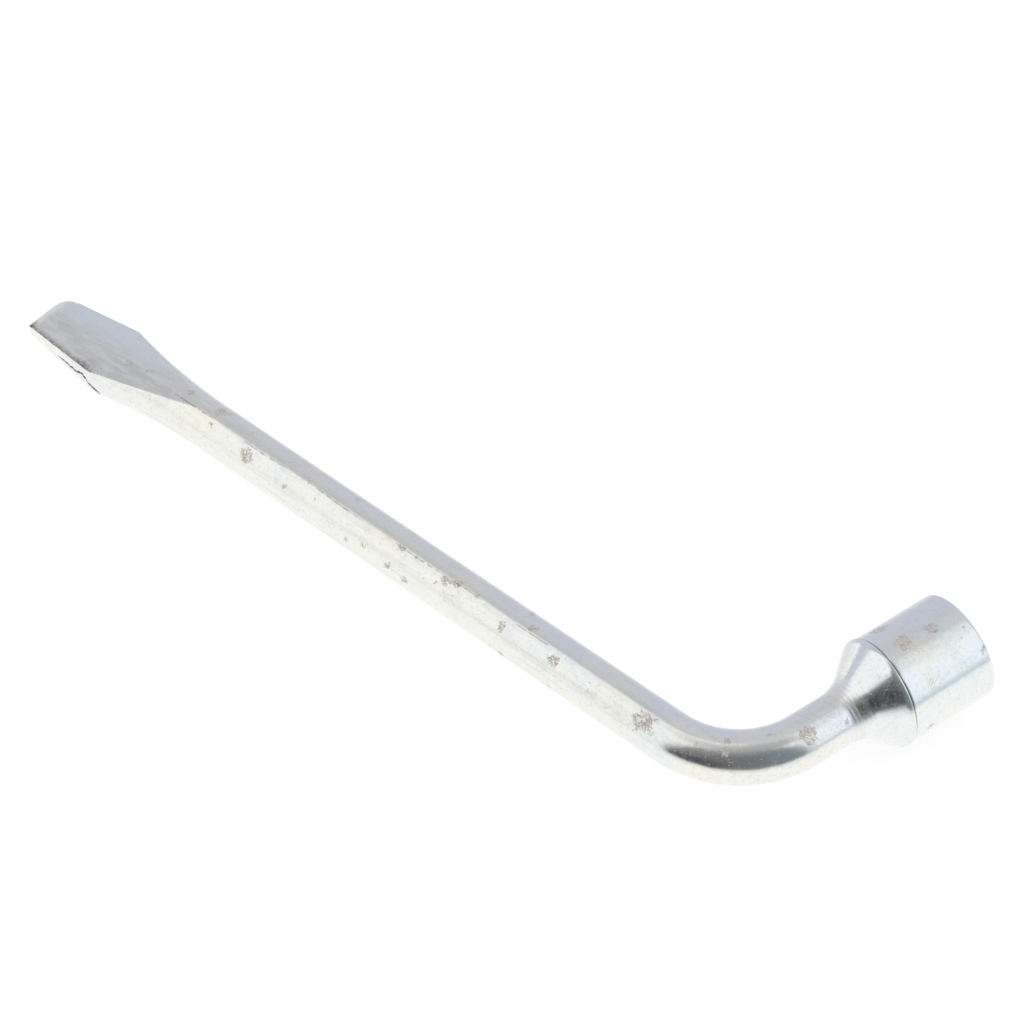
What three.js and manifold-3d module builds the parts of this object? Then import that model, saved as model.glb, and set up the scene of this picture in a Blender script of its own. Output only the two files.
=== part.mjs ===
// L-shaped lug wrench: a bent round bar with a forged pry blade at one end and a turned hex
// socket welded to the other. Units are millimetres and +Z is up.
//
// Working frame: the two arms' centrelines lie in the XY plane and would meet, without the bend,
// at a corner point at the origin. The short arm and the socket run along +Y. The long arm runs
// at ARM_ANGLE to it, towards -X. At the end the whole group is moved so that its own origin is
// the centre of the bottom of its bounding box.

import * as THREE from "three";
import { mergeVertices } from "three/addons/utils/BufferGeometryUtils.js";
import Module from "manifold-3d";

// ---- Driving dimensions -------------------------------------------------------------------

const BAR_DIAMETER = 14;
const NUT_ACROSS_FLATS = 19;
const ARM_ANGLE = THREE.MathUtils.degToRad(105); // between the two arms
const LONG_ARM = 255.6; // corner point to blade tip
const SHORT_ARM = 69.4; // corner point to socket mouth
const BEND_RADIUS = 27; // of the centreline

// Blade: the bar's end spread to a tapering fan and pressed to a wedge.
const BLADE_FLARE = 70.6; // tip back to where the bar starts to spread
const BLADE_SHOULDER = 29.6; // tip back to the widest place
const SHOULDER_RADIUS = 10.75; // of the fan before it is pressed flat
const TIP_RADIUS = 7.6;
const TIP_THICKNESS = 4.3;
const WEDGE_RUN = 64.6; // tip back to where the faces meet the full bar
const TIP_CORNER_INNER = 5.5; // rounding on the socket's side
const TIP_CORNER_OUTER = 2;

// Socket: neck fillet, cone, rounded rim, a small ledge and a plain cylinder.
const NECK_START = 30.6; // corner point to the end of the plain bar
const RIM_PLACE = 45; // corner point to the ledge
const SOCKET_RADIUS = 14.5;
const RIM_RADIUS = 14.9;
const NECK_FILLET = 11;
const RIM_ROUNDING = 2.4;
const MOUTH_EDGE = 0.6; // outer edge break at the mouth

const HEX_CLEARANCE = 0.2;
const HEX_DEPTH = 18.5;
const LEAD_IN = 1.1; // depth of the 45 degree lead-in at the mouth
const STUD_BORE_RADIUS = 7.5; // room for the stud's end behind the nut
const STUD_BORE_DEPTH = 4;
const DRILL_POINT = 3;

// Weld: a short length of the neck.
const WELD_START = 31.6; // corner point to the end of the bar
const WELD_LENGTH = 2.6;

// ---- Facets -------------------------------------------------------------------------------

const ROUND_SEGMENTS = 48;
const BEND_STEPS = 20;
const FLARE_STEPS = 7;
const FILLET_STEPS = 6;
const MOUTH_EDGE_STEPS = 3;

// ---- Allowances for joining and cutting ---------------------------------------------------

const FAN_OVERLAP = 5; // the bar ends this far inside the blade's fan
const FAN_SUNK = 0.02; // the fan starts this far under the bar's surface
const OUTLINE_MARGIN = 0.3; // the blade's plan outline stands this far outside the fan's sides
const CUT_PAST = 1; // cutters and outlines run this far past an end face

// ---- Derived places -----------------------------------------------------------------------

const BAR_RADIUS = BAR_DIAMETER / 2;
const TANGENT_LENGTH = BEND_RADIUS / Math.tan(ARM_ANGLE / 2);
const BEND_TURN = Math.PI - ARM_ANGLE;
const FLARE_START = LONG_ARM - BLADE_FLARE;
const SHOULDER = LONG_ARM - BLADE_SHOULDER;
const BAR_END = FLARE_START + FAN_OVERLAP;
const WELD_END = WELD_START + WELD_LENGTH;
const FACE_SLOPE = (BAR_RADIUS - TIP_THICKNESS / 2) / WEDGE_RUN;
const HEX_CORNER_RADIUS = (NUT_ACROSS_FLATS + HEX_CLEARANCE) / 2 / Math.cos(Math.PI / 6);

const steel = (name, color, roughness) =>
  new THREE.MeshStandardMaterial({ name, color, roughness, metalness: 1 });

const MATERIALS = {
  bar: steel("zinc_plated_bar", 0xc4c7cc, 0.28),
  weld: steel("zinc_plated_weld", 0xaeb0b2, 0.38),
  socket: steel("zinc_plated_socket", 0xcfd2d4, 0.22),
};

// ---- Solids: joining and cutting ----------------------------------------------------------

const wasm = await Module();
wasm.setup();

function toSolid(geometry) {
  const bare = geometry.clone();
  bare.deleteAttribute("normal");
  bare.deleteAttribute("uv");
  const merged = mergeVertices(bare, 1e-4);
  const mesh = new wasm.Mesh({
    numProp: 3,
    vertProperties: merged.attributes.position.array,
    triVerts: new Uint32Array(merged.index.array),
  });
  return new wasm.Manifold(mesh);
}

function toGeometry(solid) {
  const mesh = solid.getMesh();
  const geometry = new THREE.BufferGeometry();
  geometry.setAttribute("position", new THREE.BufferAttribute(mesh.vertProperties, 3));
  geometry.setIndex(new THREE.BufferAttribute(mesh.triVerts, 1));
  const flat = geometry.toNonIndexed();
  flat.computeVertexNormals();
  return flat;
}

function namedMesh(name, geometry, material) {
  const mesh = new THREE.Mesh(geometry, material);
  mesh.name = name;
  return mesh;
}

// ---- Outlines -----------------------------------------------------------------------------

function polygon(radius, sides) {
  const points = [];
  for (let i = 0; i < sides; i++) {
    const angle = (i * 2 * Math.PI) / sides;
    points.push(new THREE.Vector2(radius * Math.cos(angle), radius * Math.sin(angle)));
  }
  return new THREE.Shape(points);
}

function prism(outline, depth) {
  return new THREE.ExtrudeGeometry(outline, { depth, bevelEnabled: false });
}

function arcPoints(centreX, centreY, radius, from, to, steps = FILLET_STEPS) {
  const arc = new THREE.EllipseCurve(centreX, centreY, radius, radius, from, to, to < from);
  return arc.getPoints(steps);
}

// ---- Handle bar ---------------------------------------------------------------------------

// Direction of the long arm, and the direction across it towards the socket's side.
const LONG_DIRECTION = new THREE.Vector3(-Math.sin(ARM_ANGLE), Math.cos(ARM_ANGLE), 0);
const ACROSS_DIRECTION = new THREE.Vector3(Math.cos(ARM_ANGLE), Math.sin(ARM_ANGLE), 0);

// The bar's centreline. One step covers each straight arm and the rest divide the bend evenly.
class BarCentreline extends THREE.Curve {
  getPoint(t, target = new THREE.Vector3()) {
    const step = t * (BEND_STEPS + 2);
    if (step < 1) {
      const along = THREE.MathUtils.lerp(BAR_END, TANGENT_LENGTH, step);
      return target.copy(LONG_DIRECTION).multiplyScalar(along);
    }
    if (step > BEND_STEPS + 1) {
      const left = step - BEND_STEPS - 1;
      return target.set(0, THREE.MathUtils.lerp(TANGENT_LENGTH, WELD_START, left), 0);
    }
    const turned = ((step - 1) / BEND_STEPS) * BEND_TURN;
    return target
      .copy(LONG_DIRECTION)
      .multiplyScalar(TANGENT_LENGTH - BEND_RADIUS * Math.sin(turned))
      .addScaledVector(ACROSS_DIRECTION, BEND_RADIUS * (1 - Math.cos(turned)));
  }

  // Keeps the stations at the steps above, instead of spacing them evenly along the length.
  getUtoTmapping(u) {
    return u;
  }
}

function bentBar() {
  return new THREE.ExtrudeGeometry(polygon(BAR_RADIUS, ROUND_SEGMENTS), {
    steps: BEND_STEPS + 2,
    extrudePath: new BarCentreline(),
  });
}

// The fan as a round body. It starts a little under the bar's surface, swells along an arc to the
// shoulder and tapers straight to the tip.
function bladeFan() {
  const startRadius = BAR_RADIUS - FAN_SUNK;
  const swell = (SHOULDER_RADIUS - startRadius) / (SHOULDER - FLARE_START) ** 2;
  const profile = [new THREE.Vector2(0, FLARE_START)];
  for (let i = 0; i <= FLARE_STEPS; i++) {
    const run = ((SHOULDER - FLARE_START) * i) / FLARE_STEPS;
    profile.push(new THREE.Vector2(startRadius + swell * run ** 2, FLARE_START + run));
  }
  profile.push(new THREE.Vector2(TIP_RADIUS, LONG_ARM), new THREE.Vector2(0, LONG_ARM));
  return new THREE.LatheGeometry(profile, ROUND_SEGMENTS);
}

// Plan outline that rounds the tip's two corners. Its sides stand just outside the fan's.
function bladeOutline() {
  const taper = Math.atan((SHOULDER_RADIUS - TIP_RADIUS) / BLADE_SHOULDER);
  const tipSide = TIP_RADIUS + OUTLINE_MARGIN;
  const sideAt = (place) => tipSide + (LONG_ARM - place) * Math.tan(taper);
  const cornerCentre = (rounding) => sideAt(LONG_ARM - rounding) - rounding / Math.cos(taper);
  const root = FLARE_START - BAR_RADIUS;
  const inner = TIP_CORNER_INNER;
  const outer = TIP_CORNER_OUTER;
  return new THREE.Shape([
    new THREE.Vector2(-sideAt(root), root),
    new THREE.Vector2(sideAt(root), root),
    ...arcPoints(cornerCentre(inner), LONG_ARM - inner, inner, taper, Math.PI / 2),
    ...arcPoints(-cornerCentre(outer), LONG_ARM - outer, outer, Math.PI / 2, Math.PI - taper),
  ]);
}

// Side outline that the blade keeps: the space between the wedge's two faces.
function wedgeOutline() {
  const tip = LONG_ARM + CUT_PAST;
  const root = FLARE_START - BAR_RADIUS;
  const halfAt = (place) => TIP_THICKNESS / 2 + (LONG_ARM - place) * FACE_SLOPE;
  return new THREE.Shape([
    new THREE.Vector2(root, -halfAt(root)),
    new THREE.Vector2(tip, -halfAt(tip)),
    new THREE.Vector2(tip, halfAt(tip)),
    new THREE.Vector2(root, halfAt(root)),
  ]);
}

function blade() {
  const reach = 2 * SHOULDER_RADIUS;
  const plan = prism(bladeOutline(), 2 * reach).translate(0, 0, -reach);
  const wedge = prism(wedgeOutline(), 2 * reach);
  wedge.rotateX(Math.PI / 2).rotateZ(Math.PI / 2).translate(-reach, 0, 0);
  const solid = toSolid(bladeFan()).intersect(toSolid(plan)).intersect(toSolid(wedge));
  return toGeometry(solid).rotateZ(ARM_ANGLE);
}

function handleBar() {
  const solid = toSolid(bentBar()).add(toSolid(blade()));
  return namedMesh("handle_bar", toGeometry(solid), MATERIALS.bar);
}

// ---- Neck and socket ----------------------------------------------------------------------

// The neck runs from the plain bar to the rim as a concave fillet, a straight cone and a convex
// rounding, each tangent to the next. This is the cone's angle to the axis.
function coneAngle() {
  const length = RIM_PLACE - NECK_START;
  const radii = NECK_FILLET + RIM_ROUNDING;
  const across = radii - (RIM_RADIUS - BAR_RADIUS);
  return Math.atan2(length, across) - Math.acos(radii / Math.hypot(length, across));
}

// A stretch of the concave fillet, between two places along the axis.
function neckArc(from, to) {
  const angleAt = (place) => Math.PI - Math.asin((place - NECK_START) / NECK_FILLET);
  return arcPoints(BAR_RADIUS + NECK_FILLET, NECK_START, NECK_FILLET, angleAt(from), angleAt(to));
}

function neckWeld() {
  const profile = [
    new THREE.Vector2(0, WELD_START),
    ...neckArc(WELD_START, WELD_END),
    new THREE.Vector2(0, WELD_END),
  ];
  return namedMesh("neck_weld", new THREE.LatheGeometry(profile, ROUND_SEGMENTS), MATERIALS.weld);
}

function mouthEdge() {
  const radius = SOCKET_RADIUS - MOUTH_EDGE;
  const place = SHORT_ARM - MOUTH_EDGE;
  return arcPoints(radius, place, MOUTH_EDGE, 0, Math.PI / 2, MOUTH_EDGE_STEPS);
}

function socketBlank() {
  const cone = coneAngle();
  const filletEnd = NECK_START + NECK_FILLET * Math.sin(cone);
  const rimCentre = RIM_RADIUS - RIM_ROUNDING;
  const profile = [
    new THREE.Vector2(0, WELD_END),
    ...neckArc(WELD_END, filletEnd),
    ...arcPoints(rimCentre, RIM_PLACE, RIM_ROUNDING, -cone, 0),
    new THREE.Vector2(SOCKET_RADIUS, RIM_PLACE),
    ...mouthEdge(),
    new THREE.Vector2(0, SHORT_ARM),
  ];
  return new THREE.LatheGeometry(profile, ROUND_SEGMENTS);
}

// The hexagon has two flats facing up and down.
function hexCutter() {
  const hex = prism(polygon(HEX_CORNER_RADIUS, 6), HEX_DEPTH + CUT_PAST);
  return hex.rotateX(-Math.PI / 2).translate(0, SHORT_ARM - HEX_DEPTH, 0);
}

// Lead-in cone at the mouth, and behind the hexagon a round bore with a drill point.
function roundCutter() {
  const floor = SHORT_ARM - HEX_DEPTH - STUD_BORE_DEPTH;
  const leadInStart = SHORT_ARM - LEAD_IN;
  const past = 2 * LEAD_IN; // carries the lead-in cone out beyond the mouth
  const profile = [
    new THREE.Vector2(0, floor - DRILL_POINT),
    new THREE.Vector2(STUD_BORE_RADIUS, floor),
    new THREE.Vector2(STUD_BORE_RADIUS, leadInStart - (HEX_CORNER_RADIUS - STUD_BORE_RADIUS)),
    new THREE.Vector2(HEX_CORNER_RADIUS + past, leadInStart + past),
    new THREE.Vector2(0, leadInStart + past),
  ];
  return new THREE.LatheGeometry(profile, ROUND_SEGMENTS);
}

function socketHead() {
  const cavity = toSolid(hexCutter()).add(toSolid(roundCutter()));
  const solid = toSolid(socketBlank()).subtract(cavity);
  return namedMesh("socket_head", toGeometry(solid), MATERIALS.socket);
}

// ---- Assembly -----------------------------------------------------------------------------

const group = new THREE.Group();
group.name = "lug_wrench";
group.add(handleBar(), neckWeld(), socketHead());

const box = new THREE.Box3().setFromObject(group);
const centre = box.getCenter(new THREE.Vector3());
group.position.set(-centre.x, -centre.y, -box.min.z);

export default group;
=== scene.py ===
"""Zinc-plated lug wrench, with a hex socket and a pry blade, on a pale floor in a soft studio.

The finished object is in metres, in the CAD frame. Shapes are worked out in millimetres, and
places on the wrench are measured from the corner point, where the centrelines of the two arms
would meet if there were no bend.
"""

import math

import bpy
import numpy as np
from mathutils import Matrix, Vector, noise


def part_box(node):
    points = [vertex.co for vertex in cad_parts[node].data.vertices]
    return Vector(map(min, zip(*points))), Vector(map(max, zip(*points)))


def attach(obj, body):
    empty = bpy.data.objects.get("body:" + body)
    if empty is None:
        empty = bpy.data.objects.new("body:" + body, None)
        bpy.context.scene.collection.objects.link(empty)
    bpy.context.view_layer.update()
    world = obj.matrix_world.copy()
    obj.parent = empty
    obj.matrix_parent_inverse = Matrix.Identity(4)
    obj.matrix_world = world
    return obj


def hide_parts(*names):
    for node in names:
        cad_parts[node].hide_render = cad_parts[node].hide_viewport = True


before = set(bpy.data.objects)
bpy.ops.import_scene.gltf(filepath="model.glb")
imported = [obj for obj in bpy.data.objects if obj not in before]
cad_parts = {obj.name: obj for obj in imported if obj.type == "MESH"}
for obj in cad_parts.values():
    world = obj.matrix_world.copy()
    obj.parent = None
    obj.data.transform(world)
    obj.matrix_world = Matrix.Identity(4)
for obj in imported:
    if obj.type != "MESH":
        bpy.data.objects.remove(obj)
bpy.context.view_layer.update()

MM = 0.001

# ---- Dimensions, in millimetres ------------------------------------------------------------

BAR_RADIUS = 7.0
ARM_ANGLE = math.radians(105)
LONG_ARM = 255.6
SHORT_ARM = 69.4
BEND_RADIUS = 27.0

BLADE_FLARE = 70.6
BLADE_SHOULDER = 29.6
SHOULDER_RADIUS = 10.75
TIP_RADIUS = 7.6
TIP_THICKNESS = 4.3
WEDGE_RUN = 64.6
TIP_CORNER_INNER = 5.5
TIP_CORNER_OUTER = 1.2
CORNER_MARGIN = 0.15
TIP_ROUND_RUN = 2.8
TIP_ROUND_DEPTH = 0.45
# Exponents of the joins in the blade's section: the larger, the sharper the edge.
CRISP_EDGE = 70
SOFT_EDGE = 18

NECK_START = 30.6
RIM_PLACE = 45.0
SOCKET_RADIUS = 14.5
NECK_FILLET = 11.0
RIM_ROUNDING = 2.4
LEDGE_WIDTH = 0.12
LEDGE_GROOVE = 0.07
MOUTH_EDGE = 0.6
HEX_ACROSS_FLATS = 19.2
HEX_DEPTH = 18.5
LEAD_IN = 1.1
STUD_BORE_RADIUS = 7.5
STUD_BORE_DEPTH = 4.0
DRILL_POINT = 3.0

# ---- Places taken from the frame -----------------------------------------------------------

socket_low, socket_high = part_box("socket_head")
weld_low, weld_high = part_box("neck_weld")
socket_middle = (socket_low + socket_high) / 2
CORNER = Vector((socket_middle.x, socket_high.y - SHORT_ARM * MM, socket_middle.z)) / MM
RIM_RADIUS = (socket_high.x - socket_low.x) / 2 / MM
WELD_START = weld_low.y / MM - CORNER.y
WELD_END = weld_high.y / MM - CORNER.y

TANGENT_LENGTH = BEND_RADIUS / math.tan(ARM_ANGLE / 2)
BEND_TURN = math.pi - ARM_ANGLE
FLARE_START = LONG_ARM - BLADE_FLARE
SHOULDER = LONG_ARM - BLADE_SHOULDER
FACE_SLOPE = (BAR_RADIUS - TIP_THICKNESS / 2) / WEDGE_RUN
HEX_CORNER_RADIUS = HEX_ACROSS_FLATS / 2 / math.cos(math.pi / 6)

# Unit vectors: along the long arm, and across it towards the socket's side.
LONG_DIRECTION = np.array([-math.sin(ARM_ANGLE), math.cos(ARM_ANGLE), 0.0])
ACROSS_DIRECTION = np.array([math.cos(ARM_ANGLE), math.sin(ARM_ANGLE), 0.0])
UP = np.array([0.0, 0.0, 1.0])

# Runs are lengths along the bar's centreline from the blade's tip.
BEND_FROM = LONG_ARM - TANGENT_LENGTH
BEND_TO = BEND_FROM + BEND_RADIUS * BEND_TURN
BAR_RUN = BEND_TO + WELD_START - TANGENT_LENGTH

# Points in a ring, and the angle above which an edge isn't shaded smooth.
AROUND = 320
SOCKET_AROUND = 360
SHARP_ANGLE = math.radians(38)

# ---- Surface marks -------------------------------------------------------------------------

# The larger worn and rusty patches on the bar: run, angle round the bar in degrees (0 faces the
# socket's side, 90 up, 180 the outer side), and radius in millimetres.
BAR_PATCHES = [
    (BLADE_FLARE - 10, 75, 1.7),
    (BLADE_FLARE + 2, 75, 2.3),
    (BLADE_FLARE + 18, 130, 2.9),
    (BEND_FROM - 70, 100, 1.7),
    (BEND_FROM - 35, 120, 2.0),
    (BEND_FROM - 5, 122, 3.8),
    (BEND_TO - 1, 115, 3.0),
]

# The same on the socket: place from the corner point, angle round the axis (0 is +X) and radius.
SOCKET_PATCHES = [
    (RIM_PLACE + 6, 130, 2.6),
    (RIM_PLACE + 7, 92, 3.2),
    (RIM_PLACE + 15, 90, 2.2),
    (SHORT_ARM - 1, 45, 1.5),
]

# Brown stains on the cone, given in the same way.
CONE_STAINS = [(RIM_PLACE - 10, 54, 2.2), (RIM_PLACE - 7, 54, 2.8), (RIM_PLACE - 4, 52, 2.6)]

# Smaller patches lie at random: many along the upper side of the bar, and some all round.
SMALL_PATCHES_ABOVE = 44
SMALL_PATCHES_AROUND = 34
SMALL_PATCHES_ON_SOCKET = 16
SMALL_PATCH_SIZES = (0.5, 1.7)
FULL_PATCH = 1.9

# The rim leans: its place is lowered all round, and swings about that by the angle round the axis.
RIM_LOWERED = 0.5
RIM_SWING = 1.05
RIM_HIGHEST_AT = math.radians(115)
# The painted shade in the groove in front of the rim is darkest at this angle.
RIM_SHADE_DARKEST_AT = math.radians(55)

# A thin lap left by forging along the blade's outer side, cut into the mesh and darkened by painted
# shade: place and height above the middle.
LAP_LINE = [
    (SHOULDER + 18, 0),
    (SHOULDER + 12, 0.5),
    (SHOULDER + 6, 0.5),
    (SHOULDER + 3, 2),
    (SHOULDER, 0),
    (SHOULDER - 3, -4),
]
LAP_DEPTH = 0.5
LAP_WIDTH = 0.3

# Slight unevenness of the forged surfaces.
WAVE_LENGTH = 13
WAVE_HEIGHT = 0.05
RIPPLE_LENGTH = 4.1
RIPPLE_HEIGHT = 0.016

# Dirt on the blade's outer edge, and a broken dark line along the top of the arm.
EDGE_LINE_WIDTH = 0.24
EDGE_BAND_WIDTH = 2.0
TOP_LINE_FROM = 52
TOP_LINE_TO = 196
TOP_LINE_AT = math.radians(101)
TOP_LINE_WIDTH = 0.17

RIDGE_PITCH = 1.05
RIDGE_HEIGHT = 0.017
RIDGE_MATT = 0.3
RIDGES_FROM = 31.2
RIDGES_TO = 37.4


# ---- Meshes from rings ---------------------------------------------------------------------


def ring_mesh(name, rings, attributes):
    """A closed body from rings of points. A ring of one point closes an end.

    Each attribute is a list of arrays, one for each ring, that the materials read.
    """
    points = np.concatenate(rings) * MM
    starts = np.cumsum([0] + [len(ring) for ring in rings])
    faces = []
    for index in range(len(rings) - 1):
        here, there = starts[index], starts[index + 1]
        count_here, count_there = len(rings[index]), len(rings[index + 1])
        count = max(count_here, count_there)
        for i in range(count):
            j = (i + 1) % count
            if count_here == 1:
                faces.append((here, there + j, there + i))
            elif count_there == 1:
                faces.append((here + i, here + j, there))
            else:
                faces.append((here + i, here + j, there + j, there + i))
    mesh = bpy.data.meshes.new(name)
    mesh.from_pydata(points.tolist(), [], faces)
    for key, values in attributes.items():
        layer = mesh.attributes.new(key, "FLOAT", "POINT")
        layer.data.foreach_set("value", np.concatenate(values).astype(np.float32))
    mesh.shade_smooth()
    mesh.set_sharp_from_angle(angle=SHARP_ANGLE)
    piece = bpy.data.objects.new(name, mesh)
    bpy.context.scene.collection.objects.link(piece)
    return piece


def smooth_step(low, high, value):
    """0 at the low end and 1 at the high end, with an S-shaped rise between them."""
    share = np.clip((value - low) / (high - low), 0, 1)
    return share * share * (3 - 2 * share)


def waviness(points):
    """Slight unevenness of a forged surface, in millimetres along the surface's normal."""
    waves = np.array([noise.noise(Vector(point) / WAVE_LENGTH) for point in points])
    ripples = np.array([noise.noise(Vector(point) / RIPPLE_LENGTH) for point in points])
    return (WAVE_HEIGHT * waves + RIPPLE_HEIGHT * ripples)[:, None]


def ridge_window(place):
    """1 where the neck has turned ridges, and 0 elsewhere."""
    window = smooth_step(RIDGES_FROM, RIDGES_FROM + 1, place)
    return window * smooth_step(RIDGES_TO, RIDGES_TO - 1.5, place)


def ridges(place):
    """Turned ridges round the neck."""
    return RIDGE_HEIGHT * ridge_window(place) * np.cos(2 * math.pi * place / RIDGE_PITCH)


# ---- Bent bar with the blade ---------------------------------------------------------------


def bar_station(run):
    """Centre of the bar and the direction across it, towards the inside of the bend."""
    if run < BEND_FROM:
        return LONG_DIRECTION * (LONG_ARM - run), ACROSS_DIRECTION
    bend_centre = LONG_DIRECTION * TANGENT_LENGTH + ACROSS_DIRECTION * BEND_RADIUS
    turned = min((run - BEND_FROM) / BEND_RADIUS, BEND_TURN)
    angle = ARM_ANGLE + turned
    across = np.array([math.cos(angle), math.sin(angle), 0.0])
    straight = max(run - BEND_TO, 0)
    return bend_centre - across * BEND_RADIUS + np.array([0.0, straight, 0.0]), across


def fan_radius(place):
    """Radius of the blade's fan before it is pressed flat: it swells, then tapers to the tip."""
    flare = min(max(place - FLARE_START, 0), SHOULDER - FLARE_START)
    swell = (SHOULDER_RADIUS - BAR_RADIUS) / (SHOULDER - FLARE_START) ** 2
    past = max(place - SHOULDER, 0) / BLADE_SHOULDER
    return BAR_RADIUS + swell * flare**2 - past * (SHOULDER_RADIUS - TIP_RADIUS)


def half_thickness(place):
    """Height of the blade's pressed face above the middle, rounded off at the tip."""
    into_round = max(place - (LONG_ARM - TIP_ROUND_RUN), 0) / TIP_ROUND_RUN
    rounded = TIP_ROUND_DEPTH * (1 - math.sqrt(max(1 - into_round**2, 0)))
    return TIP_THICKNESS / 2 + (LONG_ARM - place) * FACE_SLOPE - rounded


def corner_side(place, rounding):
    """Half width that a tip corner's rounding leaves at a place, a little outside the fan's."""
    into_round = max(place - (LONG_ARM - rounding), 0)
    if into_round == 0:
        return 2 * SHOULDER_RADIUS
    rounded = math.sqrt(max(rounding**2 - into_round**2, 0))
    return TIP_RADIUS + CORNER_MARGIN - rounding + rounded


def blade_section(place, angles):
    """Radius of the blade's outline in each direction, and how far each point lies on a face.

    The outline is the least of three limits, joined smoothly: the fan's round surface, the pressed
    faces and the tip's corners. Its edges are crisp on the outer side and soft on the inner side.
    """
    fan = fan_radius(place)
    height = half_thickness(place)
    side = np.where(
        np.cos(angles) > 0,
        corner_side(place, TIP_CORNER_INNER),
        corner_side(place, TIP_CORNER_OUTER),
    )
    softening = smooth_step(FLARE_START, SHOULDER, place)
    softening = softening * smooth_step(-0.2, 0.9, np.cos(angles))
    sharpness = CRISP_EDGE + (SOFT_EDGE - CRISP_EDGE) * softening
    to_face = (fan * np.abs(np.sin(angles)) / height) ** sharpness
    to_side = (fan * np.abs(np.cos(angles)) / side) ** sharpness
    radius = fan * (1 + to_face + to_side) ** (-1 / sharpness)
    return radius, to_face / (1 + to_face + to_side)


def edge_grime(place, radius, angles, on_face):
    """Dirt on the upper face's outer edge: a dark line on it, and a wider band beside it."""
    edge = -math.sqrt(max(fan_radius(place) ** 2 - half_thickness(place) ** 2, 0))
    inside = radius * np.cos(angles) - edge
    upper = (np.sin(angles) > 0) * smooth_step(0.25, 0.6, on_face)
    reach = smooth_step(SHOULDER - 26, SHOULDER - 8, place)
    corner = smooth_step(LONG_ARM - 3, LONG_ARM - 0.5, place)
    shoulder = smooth_step(SHOULDER - 3, SHOULDER, place)
    shoulder = shoulder * smooth_step(SHOULDER + 8, SHOULDER + 2, place)
    width = EDGE_LINE_WIDTH + 0.5 * corner + 0.5 * shoulder
    width = width * (1 + 0.6 * noise.noise(Vector((place * 1.3, 3, 0))))
    line = np.exp(-((inside / width) ** 2)) * upper * reach
    reaches_in = EDGE_BAND_WIDTH + 2.4 * corner + 2.6 * shoulder
    band = (1 - smooth_step(0.2, reaches_in, inside)) * upper
    return line, band * smooth_step(SHOULDER - 2, SHOULDER + 4, place)


def rubbing(run, on_face):
    """Matt metal: rubbed bright at the blade's tip, and a little matt on the ridges at the neck."""
    at_tip = smooth_step(3.2, 1.4, run) * smooth_step(0.2, 0.6, on_face)
    return np.maximum(at_tip, RIDGE_MATT * ridge_window(run - BEND_TO + TANGENT_LENGTH))


def top_dark_line(run, angles):
    """A broken dark line along the top of the long arm."""
    if not TOP_LINE_FROM < run < TOP_LINE_TO:
        return np.zeros(len(angles))
    middle = TOP_LINE_AT + 0.09 * noise.noise(Vector((run * 0.05, 2, 0)))
    across = (angles - middle) * BAR_RADIUS
    presence = smooth_step(-0.25, 0.2, noise.noise(Vector((run * 0.07, 7, 0))))
    presence = presence * smooth_step(-0.35, 0.1, noise.noise(Vector((run * 0.7, 11, 0))))
    width = TOP_LINE_WIDTH * (1 + 0.6 * noise.noise(Vector((run * 0.9, 4, 0))))
    return 0.85 * presence * np.exp(-((across / width) ** 2))


def lap_groove(place, heights, angles):
    """How deep each point lies in the lap, from 0 to 1. The lap is jagged and opens at its end."""
    places = [entry[0] for entry in LAP_LINE][::-1]
    levels = [entry[1] for entry in LAP_LINE][::-1]
    jagged = 0.6 * noise.noise(Vector((place * 0.9, 0, 0)))
    jagged = jagged + 0.45 * noise.noise(Vector((place * 2.7, 5, 0)))
    level = np.interp(place, places, levels) + jagged
    torn = 0.5 + 0.5 * noise.noise(Vector((place * 0.8, 9, 0)))
    width = LAP_WIDTH * (0.6 + torn + 2 * smooth_step(places[0] + 3.5, places[0] + 1, place))
    ends = smooth_step(places[0], places[0] + 0.6, place)
    ends = ends * smooth_step(places[-1], places[-1] - 9, place)
    outer = np.cos(angles) < 0
    return ends * outer * np.exp(-(((heights - level) / width) ** 2))


def bar_runs():
    """Where the rings stand: close together at the blade and the neck, wider on the arm."""
    stretches = [
        (0, TIP_CORNER_INNER, 0.16),
        (TIP_CORNER_INNER, BLADE_SHOULDER + 6, 0.22),
        (BLADE_SHOULDER + 6, BLADE_FLARE, 0.4),
        (BLADE_FLARE, BEND_FROM, 0.6),
        (BEND_FROM, BEND_TO, 0.5),
        (BEND_TO, BAR_RUN, 0.35),
    ]
    runs = []
    for start, end, step in stretches:
        runs.extend(np.linspace(start, end, round((end - start) / step), endpoint=False))
    return runs + [BAR_RUN]


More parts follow.
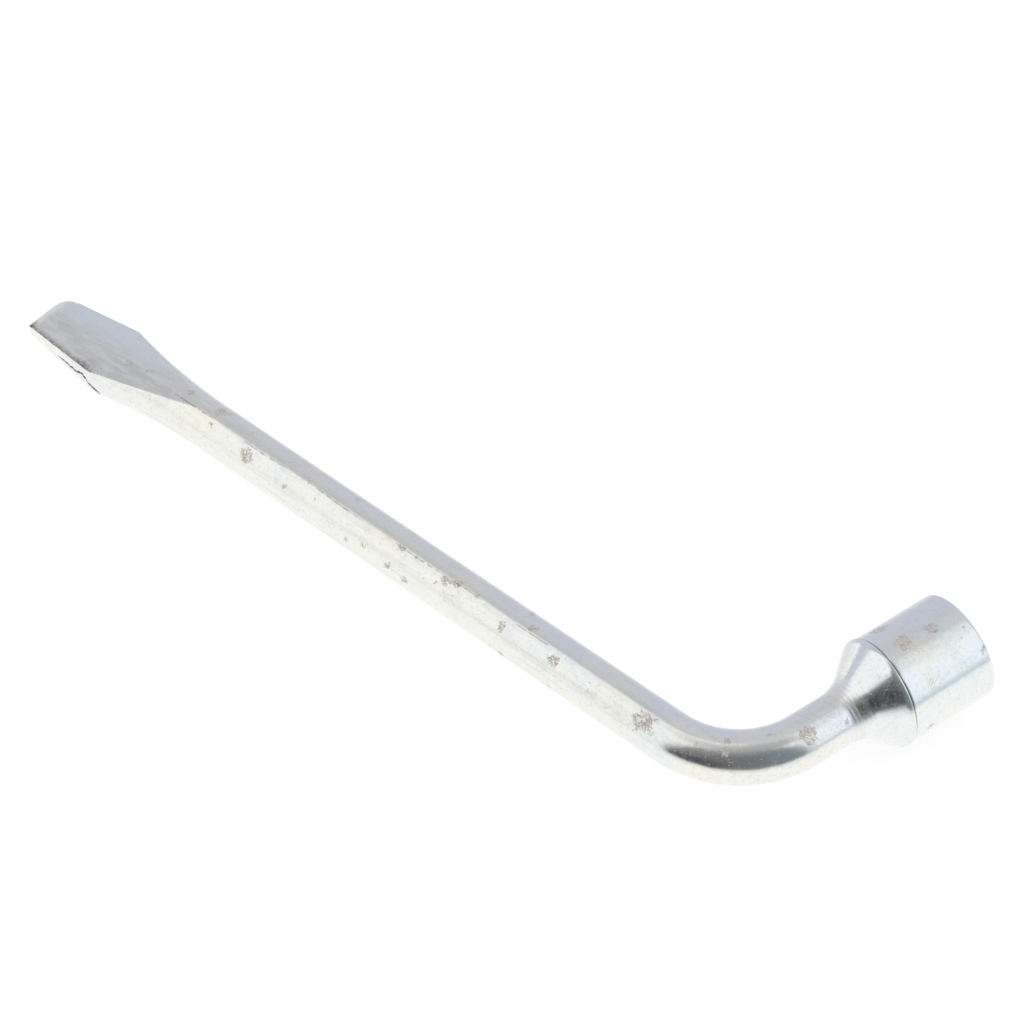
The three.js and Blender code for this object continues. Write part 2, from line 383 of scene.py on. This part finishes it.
def make_bar():
    angles = np.linspace(0, 2 * math.pi, AROUND, endpoint=False)
    patches = [(bar_point(run, math.radians(turn)), size) for run, turn, size in bar_patches()]
    rings, ground, blued, rubbed = [], [], [], []
    groove_shade_and_dark_lines, worn, grime = [], [], []
    for run in bar_runs():
        centre, across = bar_station(run)
        outward = np.outer(np.cos(angles), across) + np.outer(np.sin(angles), UP)
        place = LONG_ARM - run
        if run < BLADE_FLARE + 10:
            radius, on_face = blade_section(place, angles)
            lap = lap_groove(place, radius * np.sin(angles), angles)
            line, band = edge_grime(place, radius, angles, on_face)
            radius = radius - LAP_DEPTH * lap
        else:
            radius = np.full(AROUND, BAR_RADIUS)
            on_face = lap = line = band = np.zeros(AROUND)
        line = np.maximum(line, top_dark_line(run, angles))
        radius = radius + ridges(run - BEND_TO + TANGENT_LENGTH)
        ring = centre + outward * radius[:, None]
        ring = ring + outward * waviness(ring)
        rings.append(ring)
        on_blade = smooth_step(0.3, 0.9, on_face) * smooth_step(BLADE_FLARE, 45, run)
        ground.append(on_blade)
        blued.append(on_blade * smooth_step(-2, 6, radius * np.cos(angles)))
        rubbed.append(rubbing(run, on_face))
        # Painted shade in the lap, with the dark dirt line on the blade's edge and the dark line along
        # the top of the arm.
        groove_shade_and_dark_lines.append(np.maximum(smooth_step(0.1, 0.45, lap), 0.7 * line))
        worn.append(patch_mask(ring, patches))
        grime.append(band)
    rings = [rings[0].mean(0)[None]] + rings + [rings[-1].mean(0)[None]]
    ends = [np.zeros(1)]
    attributes = {
        "ground": ends + ground + ends,
        "blued": ends + blued + ends,
        "rubbed": ends + rubbed + ends,
        "groove_shade_and_dark_lines": ends + groove_shade_and_dark_lines + ends,
        "worn": ends + worn + ends,
        "grime": ends + grime + ends,
    }
    return ring_mesh("bent_bar", [ring + np.array(CORNER) for ring in rings], attributes)


def bar_point(run, angle):
    """A point on the surface of the bar or the blade."""
    centre, across = bar_station(run)
    radius = BAR_RADIUS
    if run < BLADE_FLARE:
        radius = blade_section(LONG_ARM - run, np.array([angle]))[0][0]
    return centre + (across * math.cos(angle) + UP * math.sin(angle)) * radius


def bar_patches():
    """The larger patches, and small ones at random."""
    random = np.random.default_rng(7)
    count = SMALL_PATCHES_ABOVE + SMALL_PATCHES_AROUND
    runs = random.uniform(BLADE_SHOULDER + 6, BAR_RUN, count)
    above = random.normal(105, 26, SMALL_PATCHES_ABOVE)
    around = random.uniform(0, 360, SMALL_PATCHES_AROUND)
    sizes = random.uniform(*SMALL_PATCH_SIZES, count)
    return BAR_PATCHES + list(zip(runs, np.concatenate([above, around]), sizes))


def socket_patches():
    """The same for the socket, whose small patches lie in front of the rim."""
    random = np.random.default_rng(11)
    count = SMALL_PATCHES_ON_SOCKET
    places = random.uniform(RIM_PLACE + 1, SHORT_ARM - 1, count)
    turns = random.uniform(0, 360, count)
    sizes = random.uniform(*SMALL_PATCH_SIZES, count)
    return SOCKET_PATCHES + list(zip(places, turns, sizes))


def patch_mask(points, patches):
    """Strong in the middle of a worn patch, falling to 0 at its edge. Small patches are faint."""
    mask = np.zeros(len(points))
    for middle, size in patches:
        distance = np.linalg.norm(points - middle, axis=1) / size
        strength = min(size / FULL_PATCH, 1)
        mask = np.maximum(mask, strength * (1 - smooth_step(0.2, 1.25, distance)))
    return mask


# ---- Weld ring and socket ------------------------------------------------------------------


def cone_angle():
    length = RIM_PLACE - NECK_START
    radii = NECK_FILLET + RIM_ROUNDING
    across = radii - (RIM_RADIUS - BAR_RADIUS)
    return math.atan2(length, across) - math.acos(radii / math.hypot(length, across))


def neck_radius(place):
    """Concave fillet, straight cone and convex rounding, up to the rim's ledge."""
    cone = cone_angle()
    run = place - NECK_START
    fillet_end = NECK_FILLET * math.sin(cone)
    rounding_start = RIM_PLACE - NECK_START - RIM_ROUNDING * math.sin(cone)
    if run < fillet_end:
        return BAR_RADIUS + NECK_FILLET - math.sqrt(NECK_FILLET**2 - max(run, 0) ** 2)
    if run > rounding_start:
        left = RIM_PLACE - place
        return RIM_RADIUS - RIM_ROUNDING + math.sqrt(RIM_ROUNDING**2 - left**2)
    cone_from = BAR_RADIUS + NECK_FILLET * (1 - math.cos(cone))
    return cone_from + (run - fillet_end) * math.tan(cone)


def turned_ring(place, radius, count):
    """A ring round the socket's axis, moved along it where the rim leans."""
    angles = np.linspace(0, 2 * math.pi, count, endpoint=False)
    radius = np.broadcast_to(radius, count)
    places = place + rim_lean(place, radius, angles)
    return np.stack([np.cos(angles) * radius, places, np.sin(angles) * radius], axis=1)


def rim_lean(place, radius, angles):
    """How far the leaning rim moves each point of a ring along the axis."""
    near_rim = smooth_step(WELD_END + 0.6, RIM_PLACE, place)
    near_rim = near_rim * smooth_step(RIM_PLACE + 9, RIM_PLACE + 0.6, place)
    outside = radius > HEX_CORNER_RADIUS + LEAD_IN
    swing = RIM_SWING * np.cos(angles - RIM_HIGHEST_AT) - RIM_LOWERED
    return np.where(outside | (place < RIM_PLACE), swing * near_rim, 0.0)


def outward_from_axis(ring):
    """Unit vectors from the socket's axis to each point."""
    flat = ring * np.array([1, 0, 1])
    return flat / np.maximum(np.linalg.norm(flat, axis=1, keepdims=True), 1e-9)


def make_weld():
    steps = round((WELD_END - WELD_START) / 0.1)
    rings, rubbed = [], []
    for place in np.linspace(WELD_START, WELD_END, steps + 1):
        ring = turned_ring(place, neck_radius(place) + ridges(place), AROUND)
        rings.append(ring + outward_from_axis(ring) * waviness(ring))
        rubbed.append(np.full(AROUND, RIDGE_MATT * ridge_window(place)))
    rings = [rings[0].mean(0)[None]] + rings + [rings[-1].mean(0)[None]]
    rubbed = [np.zeros(1)] + rubbed + [np.zeros(1)]
    rings = [ring + np.array(CORNER) for ring in rings]
    return ring_mesh("weld_ring", rings, {"rubbed": rubbed})


def hex_radius(count):
    """Distance from the axis to the hexagon in each direction. Its corners lie along X."""
    angles = np.linspace(0, 2 * math.pi, count, endpoint=False)
    from_flat = (angles + 2 * math.pi) % (math.pi / 3) - math.pi / 6
    return HEX_ACROSS_FLATS / 2 / np.cos(from_flat)


def socket_profile():
    """Places and radii along the outside, then down the inside to the drill point."""
    profile = [(place, neck_radius(place) + ridges(place)) for place in neck_places()]
    profile.append((RIM_PLACE + LEDGE_WIDTH / 2, RIM_RADIUS - LEDGE_GROOVE))
    profile.append((RIM_PLACE + LEDGE_WIDTH, SOCKET_RADIUS - LEDGE_GROOVE))
    profile.append((RIM_PLACE + 3 * LEDGE_WIDTH, SOCKET_RADIUS - LEDGE_GROOVE))
    for place in np.linspace(RIM_PLACE + 5 * LEDGE_WIDTH, SHORT_ARM - MOUTH_EDGE, 40):
        profile.append((place, SOCKET_RADIUS))
    for angle in np.linspace(0, math.pi / 2, 7)[1:]:
        across = SOCKET_RADIUS - MOUTH_EDGE * (1 - math.cos(angle))
        profile.append((SHORT_ARM - MOUTH_EDGE * (1 - math.sin(angle)), across))
    mouth_radius = HEX_CORNER_RADIUS + LEAD_IN
    flat_radius = HEX_ACROSS_FLATS / 2
    hexagon = hex_radius(SOCKET_AROUND)
    for depth in np.linspace(0, mouth_radius - flat_radius, 18):
        profile.append((SHORT_ARM - depth, np.maximum(hexagon, mouth_radius - depth)))
    floor = SHORT_ARM - HEX_DEPTH
    profile.append((floor, hexagon))
    profile.append((floor, STUD_BORE_RADIUS))
    profile.append((floor - STUD_BORE_DEPTH, STUD_BORE_RADIUS))
    return profile


def neck_places():
    """Where the socket's neck has its rings: close together on the ridges."""
    on_ridges = np.linspace(WELD_END, RIDGES_TO, 40)
    on_cone = np.linspace(RIDGES_TO + 0.2, RIM_PLACE, 34)
    return np.concatenate([on_ridges, on_cone])


def socket_spot(place, turn, size):
    """A spot on the neck or the socket, as its middle point and its size."""
    radius = neck_radius(place) if place < RIM_PLACE else SOCKET_RADIUS
    angle = math.radians(turn)
    return np.array([radius * math.cos(angle), place, radius * math.sin(angle)]), size


def rim_groove_shade(place):
    """Painted shade in the groove in front of the rim, unevenly spread round it."""
    if not RIM_PLACE < place < RIM_PLACE + 4 * LEDGE_WIDTH:
        return np.zeros(SOCKET_AROUND)
    angles = np.linspace(0, 2 * math.pi, SOCKET_AROUND, endpoint=False)
    uneven = [noise.noise(Vector((math.cos(angle), math.sin(angle), 1)) * 3) for angle in angles]
    spread = 0.68 + 0.32 * np.cos(angles - RIM_SHADE_DARKEST_AT) + 0.3 * np.array(uneven)
    return np.clip(spread, 0, 1)


def make_socket():
    patches = [socket_spot(*spot) for spot in socket_patches()]
    stains = [socket_spot(*spot) for spot in CONE_STAINS]
    rings, groove_shade_and_dark_lines, worn, grime, rubbed = [], [], [], [], []
    profile = socket_profile()
    for place, radius in profile:
        ring = turned_ring(place, radius, SOCKET_AROUND)
        rings.append(ring + outward_from_axis(ring) * waviness(ring))
        # Painted shade in the groove in front of the rim.
        groove_shade_and_dark_lines.append(rim_groove_shade(place))
        worn.append(patch_mask(ring, patches))
        grime.append(patch_mask(ring, stains))
        rubbed.append(np.full(SOCKET_AROUND, RIDGE_MATT * ridge_window(place)))
    drill_tip = SHORT_ARM - HEX_DEPTH - STUD_BORE_DEPTH - DRILL_POINT
    rings = [np.array([[0, WELD_END, 0]])] + rings + [np.array([[0, drill_tip, 0]])]
    ends = [np.zeros(1)]
    attributes = {
        "groove_shade_and_dark_lines": ends + groove_shade_and_dark_lines + ends,
        "worn": ends + worn + ends,
        "grime": ends + grime + ends,
        "rubbed": ends + rubbed + ends,
    }
    return ring_mesh("turned_socket", [ring + np.array(CORNER) for ring in rings], attributes)


# ---- Materials -----------------------------------------------------------------------------


class Graph:
    """Short calls for building a node tree. Values are numbers, tuples or node outputs."""

    def __init__(self, tree):
        self.tree = tree
        tree.nodes.clear()

    def node(self, kind, inputs=None, **settings):
        made = self.tree.nodes.new(kind)
        for key, value in settings.items():
            setattr(made, key, value)
        for key, value in (inputs or {}).items():
            self.put(made.inputs[key], value)
        return made

    def put(self, socket, value):
        if isinstance(value, bpy.types.NodeSocket):
            self.tree.links.new(value, socket)
        else:
            socket.default_value = value

    def math(self, operation, first, second=0.0):
        made = self.node("ShaderNodeMath", operation=operation)
        self.put(made.inputs[0], first)
        self.put(made.inputs[1], second)
        return made.outputs[0]

    def step(self, value, low, high, to_low=0.0, to_high=1.0):
        inputs = {
            "Value": value,
            "From Min": low,
            "From Max": high,
            "To Min": to_low,
            "To Max": to_high,
        }
        made = self.node("ShaderNodeMapRange", inputs, interpolation_type="SMOOTHSTEP")
        return made.outputs["Result"]

    def mix(self, share, first, second):
        inputs = {"Factor_Float": share, "A_Color": first, "B_Color": second}
        made = self.node("ShaderNodeMix", data_type="RGBA")
        for socket in made.inputs:
            if socket.identifier in inputs:
                self.put(socket, inputs[socket.identifier])
        return next(out for out in made.outputs if out.identifier == "Result_Color")

    def noise(self, vector, scale, detail=2.0, roughness=0.5, distortion=0.0):
        inputs = {
            "Vector": vector,
            "Scale": scale,
            "Detail": detail,
            "Roughness": roughness,
            "Distortion": distortion,
        }
        return self.node("ShaderNodeTexNoise", inputs).outputs["Fac"]

    def stretched(self, vector, scale, turn=0.0):
        """Coordinates turned about Z and scaled differently along each axis."""
        inputs = {"Vector": vector, "Scale": scale, "Rotation": (0.0, 0.0, turn)}
        return self.node("ShaderNodeMapping", inputs, vector_type="TEXTURE").outputs["Vector"]

    def cover(self, colour, paint, share, strength=1.0):
        """A colour with a paint laid over it, where the share says."""
        return self.mix(self.math("MULTIPLY", share, strength), colour, (*paint, 1))

    def largest(self, *values):
        result = values[0]
        for value in values[1:]:
            result = self.math("MAXIMUM", result, value)
        return result

    def attribute(self, name):
        return self.node("ShaderNodeAttribute", attribute_name=name).outputs["Fac"]

    def bump(self, height, strength, distance, normal=None):
        inputs = {"Height": height, "Strength": strength, "Distance": distance}
        if normal is not None:
            inputs["Normal"] = normal
        return self.node("ShaderNodeBump", inputs).outputs["Normal"]


# Colours of the zinc plate and of what lies on it.
BLUISH_PLATE = (0.855, 0.88, 0.91)
YELLOWISH_PLATE = (0.91, 0.895, 0.84)
PINKISH_PLATE = (0.89, 0.83, 0.85)
DULL_PLATE = (0.66, 0.66, 0.65)
DRAWN_LINES = (0.74, 0.74, 0.735)
GROUND_DULL = (0.67, 0.665, 0.65)
GROUND_BRIGHT = (0.95, 0.95, 0.93)
GROUND_BLUED = (0.865, 0.925, 0.985)
RUBBED_METAL = (0.97, 0.97, 0.965)
DIRT = (0.4, 0.36, 0.33)
SCRATCHED = (0.5, 0.5, 0.5)
STAIN = (0.66, 0.56, 0.42)
DARK_RUST = (0.28, 0.225, 0.165)
BROWN_RUST = (0.4, 0.28, 0.17)
# Near black, for painted shade in the lap and the rim's groove, and for the dark lines on the blade's
# edge and the arm's top.
GROOVE_SHADE_AND_LINES = (0.05, 0.045, 0.04)

# Scratches: direction in radians from the X axis, and length in millimetres.
SCRATCHES = [(0.5, 26.0), (2.1, 17.0), (-0.4, 21.0)]
ALONG_ARM = ARM_ANGLE - math.pi / 2


def plate_colour(g, mm, tone, mottle):
    """The passivated plate drifts between bluish, plain, yellowish and pinkish, and has dull spots."""
    tint = g.noise(mm, 0.06, 3.0, 0.55, 0.6)
    colour = g.mix(g.step(tint, 0.34, 0.5), (*BLUISH_PLATE, 1), (*tone, 1))
    colour = g.cover(colour, YELLOWISH_PLATE, g.step(tint, 0.5, 0.7))
    blush = g.noise(mm, 0.13, 2.0, 0.5, 0.8)
    colour = g.cover(colour, PINKISH_PLATE, g.step(blush, 0.6, 0.78), 0.35)
    return g.cover(colour, DULL_PLATE, g.step(mottle, 0.5, 0.75), 0.4)


def drawn_colour(g, mm, colour, strength):
    """Faint lines along the arm, left by drawing the bar."""
    lines = g.noise(g.stretched(mm, (34.0, 1.3, 1.3), ALONG_ARM), 1.0, 3.0)
    return g.cover(colour, DRAWN_LINES, g.step(lines, 0.54, 0.68), strength)


def blade_colour(g, mm, colour, streaks, ground):
    """The ground faces: dull streaks across them, brighter clouds, blueing and a rubbed tip."""
    dull = g.math("MULTIPLY", ground, g.step(streaks, 0.36, 0.62, 0.1, 0.95))
    colour = g.cover(colour, GROUND_DULL, dull)
    clouds = g.noise(g.stretched(mm, (9.0, 2.2, 2.2), ALONG_ARM), 1.0, 3.0)
    bright = g.math("MULTIPLY", ground, g.step(clouds, 0.4, 0.65))
    colour = g.cover(colour, GROUND_BRIGHT, bright, 0.65)
    colour = g.cover(colour, GROUND_BLUED, g.attribute("blued"), 0.9)
    return g.cover(colour, RUBBED_METAL, g.attribute("rubbed"), 0.9)


def scratch_marks(g, mm):
    """Fine scratches in a few directions, each set in places of its own."""
    sets = []
    for turn, reach in SCRATCHES:
        drawn = g.noise(g.stretched(mm, (reach, 0.22, 2.5), turn), 1.0, 1.0, 0.4, 0.15)
        thin = g.step(g.math("ABSOLUTE", g.math("SUBTRACT", drawn, 0.5)), 0.0, 0.006, 1.0, 0.0)
        where = g.step(g.noise(mm, 0.11 + 0.02 * turn, 2.0), 0.54, 0.64)
        sets.append(g.math("MULTIPLY", thin, where))
    return g.largest(*sets)


def contour(g, vector, scale, level, width):
    """Thin curly lines where a noise crosses a level."""
    away = g.math("ABSOLUTE", g.math("SUBTRACT", g.noise(vector, scale, 3.0, 0.65, 0.8), level))
    return g.step(away, width * 0.3, width, 1.0, 0.0)


def ragged_patches(g, mm):
    """The worn patches with torn outlines."""
    worn = g.attribute("worn")
    warp = g.math("SUBTRACT", g.noise(mm, 0.5, 3.0, 0.6, 0.6), 0.5)
    ragged = g.math("ADD", worn, g.math("MULTIPLY", warp, 2.6))
    return g.math("MULTIPLY", g.step(ragged, 0.3, 0.75), g.step(worn, 0.02, 0.2))


def rust_marks(g, mm, ragged):
    """Specks and pits everywhere, and curls and crumbs of rust in the worn patches."""
    curls = g.largest(contour(g, mm, 0.75, 0.5, 0.03), contour(g, mm, 1.2, 0.56, 0.03))
    crumbs = g.step(g.noise(mm, 1.3, 4.0, 0.65, 0.6), 0.6, 0.67)
    clusters = g.math("MULTIPLY", ragged, g.largest(curls, crumbs))
    specks = g.step(g.noise(mm, 1.4, 5.0, 0.7, 0.3), 0.66, 0.7)
    pits = g.step(g.noise(mm, 2.9, 2.0, 0.5), 0.72, 0.76)
    return g.largest(specks, pits, clusters)


def marked_colour(g, mm, colour, ragged, marks, scratches):
    """Dirt, scratches, stains, rust, then painted shade in the lap and the rim's groove with the dark
    lines, laid over the plate in that order.
    """
    dirt = g.step(g.noise(mm, 1.3, 4.0, 0.65), 0.32, 0.54)
    colour = g.cover(colour, DIRT, g.math("MULTIPLY", g.attribute("grime"), dirt))
    colour = g.cover(colour, SCRATCHED, scratches, 0.35)
    colour = g.cover(colour, STAIN, ragged, 0.2)
    rust_hue = g.step(g.noise(mm, 0.9, 3.0), 0.4, 0.6)
    rust = g.mix(rust_hue, (*DARK_RUST, 1), (*BROWN_RUST, 1))
    colour = g.mix(g.math("MULTIPLY", marks, 0.72), colour, rust)
    # Near black where there is painted shade in the lap and the rim's groove, and along the dark lines.
    return g.cover(colour, GROOVE_SHADE_AND_LINES, g.attribute("groove_shade_and_dark_lines"), 0.95)


def zinc_roughness(g, shine, mottle, dulled):
    """Roughness of the plate, raised by each pair of a mask and an amount."""
    roughness = g.step(mottle, 0.3, 0.75, shine, shine + 0.1)
    for mask, amount in dulled:
        roughness = g.math("ADD", roughness, g.math("MULTIPLY", mask, amount))
    return g.math("MINIMUM", roughness, 1.0)


def zinc_relief(g, mm, streaks, ground, marks, scratches, lathe_marks):
    """Bumps finer than the mesh: uneven plate, grinding streaks, pits, scratches, turning marks."""
    normal = g.bump(g.noise(mm, 0.35, 2.0, 0.5), 0.35, 0.05 * MM)
    normal = g.bump(g.noise(mm, 2.4, 3.0, 0.6), 0.3, 0.008 * MM, normal)
    normal = g.bump(streaks, g.math("MULTIPLY", ground, 0.7), 0.03 * MM, normal)
    sunk = g.largest(marks, g.math("MULTIPLY", scratches, 0.25))
    normal = g.bump(g.math("SUBTRACT", 1.0, sunk), 0.55, 0.08 * MM, normal)
    turned = g.noise(g.stretched(mm, (60.0, 0.35, 60.0)), 1.0, 3.0, 0.6)
    return g.bump(turned, lathe_marks, 0.012 * MM, normal)


def zinc(name, shine, tone, lathe_marks=0.0, drawn_marks=0.0):
    """Bright zinc plate over steel: tinted by its passivation, scratched, pitted and rusty."""
    material = bpy.data.materials.new(name)
    material.use_nodes = True
    g = Graph(material.node_tree)
    place = g.node("ShaderNodeTexCoord").outputs["Object"]
    mm = g.node("ShaderNodeVectorMath", {0: place, "Scale": 1 / MM}, operation="SCALE").outputs[0]
    mottle = g.noise(mm, 0.9, 5.0, 0.7)
    streaks = g.noise(g.stretched(mm, (14.0, 0.16, 1.0), ALONG_ARM), 1.0, 5.0, 0.72)
    ground = g.attribute("ground")
    scratches = scratch_marks(g, mm)
    ragged = ragged_patches(g, mm)
    marks = rust_marks(g, mm, ragged)

    colour = plate_colour(g, mm, tone, mottle)
    colour = drawn_colour(g, mm, colour, drawn_marks)
    colour = blade_colour(g, mm, colour, streaks, ground)
    colour = marked_colour(g, mm, colour, ragged, marks, scratches)
    dulled = [
        (ground, 0.12),
        (g.attribute("grime"), 0.1),
        (g.attribute("rubbed"), 0.36),
        (scratches, 0.2),
        (marks, 0.35),
    ]
    inputs = {
        "Base Color": colour,
        "Metallic": g.math("SUBTRACT", 1.0, g.math("MULTIPLY", marks, 0.55)),
        "Roughness": zinc_roughness(g, shine, mottle, dulled),
        "Normal": zinc_relief(g, mm, streaks, ground, marks, scratches, lathe_marks),
    }
    shader = g.node("ShaderNodeBsdfPrincipled", inputs)
    output = g.node("ShaderNodeOutputMaterial")
    g.tree.links.new(shader.outputs["BSDF"], output.inputs["Surface"])
    return material


# ---- Stage ---------------------------------------------------------------------------------


# Studio seen in the metal. Azimuths are in degrees from +X, and elevations above the horizon.
FLOOR_GLOW = (1.01, 1.01, 0.975)
WALL_LOW = (0.59, 0.612, 0.688)
WALL_HIGH = (0.62, 0.63, 0.645)
WALL_SHADED = (0.53, 0.53, 0.535)
OVERHEAD = (0.40, 0.405, 0.405)
AMBIENT = (1.12, 1.12, 1.12)
# The wall ends along a straight edge overhead. It fills the directions on the far side of this
# plane's normal.
WALL_EDGE = (0.6, -0.71, 0.37)
# Colour, azimuths from and to, elevations from and to, and soft widths of the sides and ends.
# Later panels lie over earlier ones.
PANELS = {
    "camera side": ((0.16, 0.17, 0.18), (272, 372), (-20, 72), 12, 44),
    "darkest part of it": ((0.07, 0.075, 0.09), (262, 314), (-20, 34), 14, 26),
    "bluer part of it": ((0.18, 0.225, 0.245), (344, 376), (0, 60), 16, 18),
    "far edge of the table": ((0.72, 0.7, 0.66), (262, 380), (-30, 4), 10, 8),
    "blue strip": ((0.48, 0.6, 0.7), (14, 60), (-10, 9), 10, 6),
    "left softbox": ((1.0, 1.0, 0.965), (140, 270), (-14, 76), 7, 30),
    "dimmer part of it": ((0.93, 0.93, 0.9), (244, 262), (6, 22), 10, 10),
    "right softbox": ((0.94, 0.99, 1.03), (16, 125), (7, 68), 9, 14),
    "its upper part": ((0.84, 0.88, 0.9), (58, 125), (52, 74), 24, 8),
}


# Painted shade and a painted reflection of the wall on the table top, seen only in the metal: azimuths
# from and to, its soft width, the elevations over which the grey comes in, and how strong it gets.
TABLE_PAINTED_SHADES_IN_METAL = {
    "far edge": ((272, 380), 20, (-16, 0), 0.4),
    "near the wall": ((95, 188), 26, (-62, -4), 1.0),
}
TABLE_BRIGHTNESS = 0.76
TABLE_HALF = 4.0

# Camera: angles in degrees, lengths in millimetres.
CAMERA_AZIMUTH = 62.35
CAMERA_ELEVATION = 50.95
CAMERA_ROLL = -7.16
CAMERA_DISTANCE = 670
CAMERA_LENS = 87.9
SENSOR_WIDTH = 36
LOOKS_AT = Vector((-103.8, 2.35, 0))


def window(g, value, low, high, soft):
    """1 between two values and 0 outside them, with soft ends."""
    rising = g.step(value, low - soft / 2, low + soft / 2)
    falling = g.step(value, high - soft / 2, high + soft / 2, 1.0, 0.0)
    return g.math("MULTIPLY", rising, falling)


def angles_of(g, direction):
    """Azimuth and elevation of a direction, in degrees."""
    parts = g.node("ShaderNodeSeparateXYZ", {0: direction}).outputs
    azimuth = g.math("DEGREES", g.math("ARCTAN2", parts[1], parts[0]))
    elevation = g.math("DEGREES", g.math("ARCSINE", parts[2]))
    return azimuth, elevation


def azimuth_window(g, azimuth, low, high, soft):
    """The same for an azimuth, which may pass through 360 degrees."""
    from_middle = g.math("SUBTRACT", azimuth, (low + high) / 2)
    from_middle = g.math("WRAP", from_middle, -180.0)
    from_middle.node.inputs[2].default_value = 180.0
    return window(g, from_middle, (low - high) / 2, (high - low) / 2, soft)


def wall_colour(g, azimuth, elevation):
    """The studio's wall, bluish low down and darker on its shaded side higher up."""
    shaded = azimuth_window(g, azimuth, 150, 300, 30)
    high = g.mix(shaded, (*WALL_HIGH, 1), (*WALL_SHADED, 1))
    return g.mix(g.step(elevation, 18, 56), (*WALL_LOW, 1), high)


def make_floor():
    """A pale, softly lit table top. In the metal it shows painted shade and a painted reflection of the
    wall, greying towards the wall and the horizon.
    """
    under = -0.05 * MM
    corners = [(x * TABLE_HALF, y * TABLE_HALF, under) for x, y in ((-1, -1), (1, -1), (1, 1), (-1, 1))]
    mesh = bpy.data.meshes.new("floor")
    mesh.from_pydata(corners, [], [(0, 1, 2, 3)])
    floor = bpy.data.objects.new("floor", mesh)
    bpy.context.scene.collection.objects.link(floor)

    material = bpy.data.materials.new("pale_floor")
    material.use_nodes = True
    g = Graph(material.node_tree)
    grain = g.noise(g.node("ShaderNodeTexCoord").outputs["Object"], 40.0, 3.0)
    paper = g.mix(grain, (0.3, 0.3, 0.3, 1), (0.32, 0.32, 0.32, 1))
    diffuse = g.node("ShaderNodeBsdfDiffuse", {"Color": paper, "Roughness": 0.5})
    lit = g.node("ShaderNodeEmission", {"Color": (1, 1, 1, 1), "Strength": TABLE_BRIGHTNESS})
    table = g.node("ShaderNodeAddShader", {0: diffuse.outputs[0], 1: lit.outputs[0]})

    incoming = g.node("ShaderNodeNewGeometry").outputs["Incoming"]
    outgoing = g.node("ShaderNodeVectorMath", {0: incoming, "Scale": -1.0}, operation="SCALE")
    azimuth, elevation = angles_of(g, outgoing.outputs[0])
    glow = (*FLOOR_GLOW, 1)
    # Painted shade and a painted reflection of the wall, seen only in the metal.
    for sides, soft, rise, strength in TABLE_PAINTED_SHADES_IN_METAL.values():
        share = azimuth_window(g, azimuth, *sides, soft)
        share = g.math("MULTIPLY", share, g.step(elevation, *rise, 0.0, strength))
        glow = g.mix(share, glow, (*WALL_LOW, 1))
    mirrored = g.node("ShaderNodeEmission", {"Color": glow})
    in_metal = g.node("ShaderNodeLightPath").outputs["Is Glossy Ray"]
    inputs = {0: in_metal, 1: table.outputs[0], 2: mirrored.outputs[0]}
    shader = g.node("ShaderNodeMixShader", inputs)
    output = g.node("ShaderNodeOutputMaterial")
    g.tree.links.new(shader.outputs[0], output.inputs["Surface"])
    mesh.materials.append(material)


def make_world():
    """Even light from all round, and the studio's panels and wall as seen in the metal."""
    world = bpy.data.worlds.new("studio")
    bpy.context.scene.world = world
    world.use_nodes = True
    g = Graph(world.node_tree)
    direction = g.node("ShaderNodeTexCoord").outputs["Generated"]
    azimuth, elevation = angles_of(g, direction)
    colour = (*OVERHEAD, 1)
    for light, sides, ends, side_soft, end_soft in PANELS.values():
        share = g.math(
            "MULTIPLY",
            azimuth_window(g, azimuth, *sides, side_soft),
            window(g, elevation, *ends, end_soft),
        )
        colour = g.mix(share, colour, (*light, 1))
    inputs = {0: direction, 1: WALL_EDGE}
    beyond = g.node("ShaderNodeVectorMath", inputs, operation="DOT_PRODUCT").outputs["Value"]
    colour = g.mix(g.step(beyond, -0.03, 0.03, 1.0, 0.0), colour, wall_colour(g, azimuth, elevation))
    in_metal = g.node("ShaderNodeLightPath").outputs["Is Glossy Ray"]
    colour = g.mix(in_metal, (*AMBIENT, 1), colour)
    background = g.node("ShaderNodeBackground", {"Color": colour})
    output = g.node("ShaderNodeOutputWorld")
    g.tree.links.new(background.outputs[0], output.inputs["Surface"])


def make_camera():
    """Looks down at the wrench, with a small roll."""
    turn = Matrix.Rotation(math.radians(CAMERA_AZIMUTH), 4, "Z")
    turn = turn @ Matrix.Rotation(math.radians(90 - CAMERA_ELEVATION), 4, "X")
    turn = turn @ Matrix.Rotation(math.radians(CAMERA_ROLL), 4, "Z")
    place = CORNER + LOOKS_AT + turn @ Vector((0, 0, CAMERA_DISTANCE))
    data = bpy.data.cameras.new("camera")
    data.lens = CAMERA_LENS
    data.sensor_width = SENSOR_WIDTH
    data.clip_start = 0.01
    camera = bpy.data.objects.new("camera", data)
    camera.matrix_world = Matrix.Translation(place * MM) @ turn
    bpy.context.scene.collection.objects.link(camera)
    bpy.context.scene.camera = camera


# ---- Scene ---------------------------------------------------------------------------------

bar = make_bar()
weld = make_weld()
socket = make_socket()

bar.data.materials.append(zinc("zinc_bar", 0.15, (0.90, 0.90, 0.885), drawn_marks=0.35))
weld.data.materials.append(zinc("zinc_weld", 0.2, (0.84, 0.84, 0.83), 0.6))
socket.data.materials.append(zinc("zinc_socket", 0.13, (0.87, 0.90, 0.93), 0.5))

for piece, node, slot in (
    (bar, "handle_bar", "zinc_bar"),
    (weld, "neck_weld", "zinc_weld"),
    (socket, "socket_head", "zinc_socket"),
):
    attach(piece, "root")
    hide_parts(node)

make_floor()
make_world()
make_camera()
bpy.context.scene.view_settings.view_transform = "Standard"
